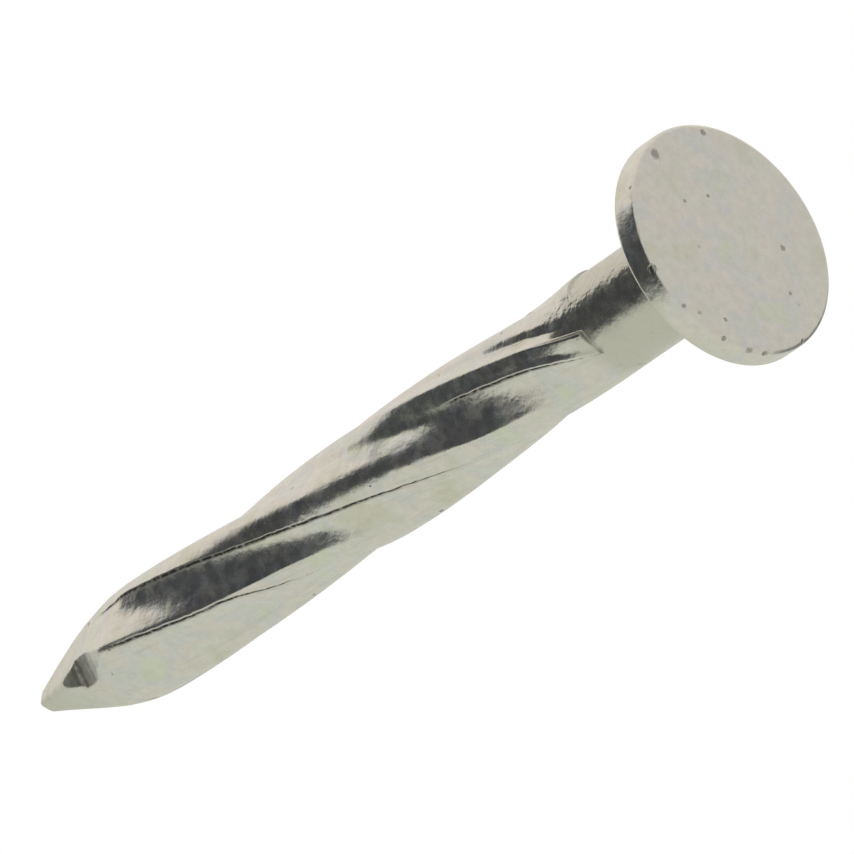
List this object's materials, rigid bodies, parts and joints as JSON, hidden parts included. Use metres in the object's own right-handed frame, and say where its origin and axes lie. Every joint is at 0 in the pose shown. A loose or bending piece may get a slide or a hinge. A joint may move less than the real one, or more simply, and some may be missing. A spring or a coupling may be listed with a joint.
{
  "type": "twist-shank nail",
  "caption": "Short zinc-plated nail with a round flat head, a plain neck, a helically ridged shank and a pinched point.",
  "frame": {"origin": "centre of the striking face", "axes": "+Z runs along the nail's axis and out of the striking face, so the point is towards -Z; -Y looks out of the side that the picture shows"},
  "size_m": [0.0086, 0.0086, 0.038],
  "materials": {
    "zinc_plated_steel": "dull bright zinc plating with faint pink, yellow and green tints and dark grime in the creases"
  },
  "bodies": {
    "root": {"nail": "zinc_plated_steel"}
  },
  "joints": []
}
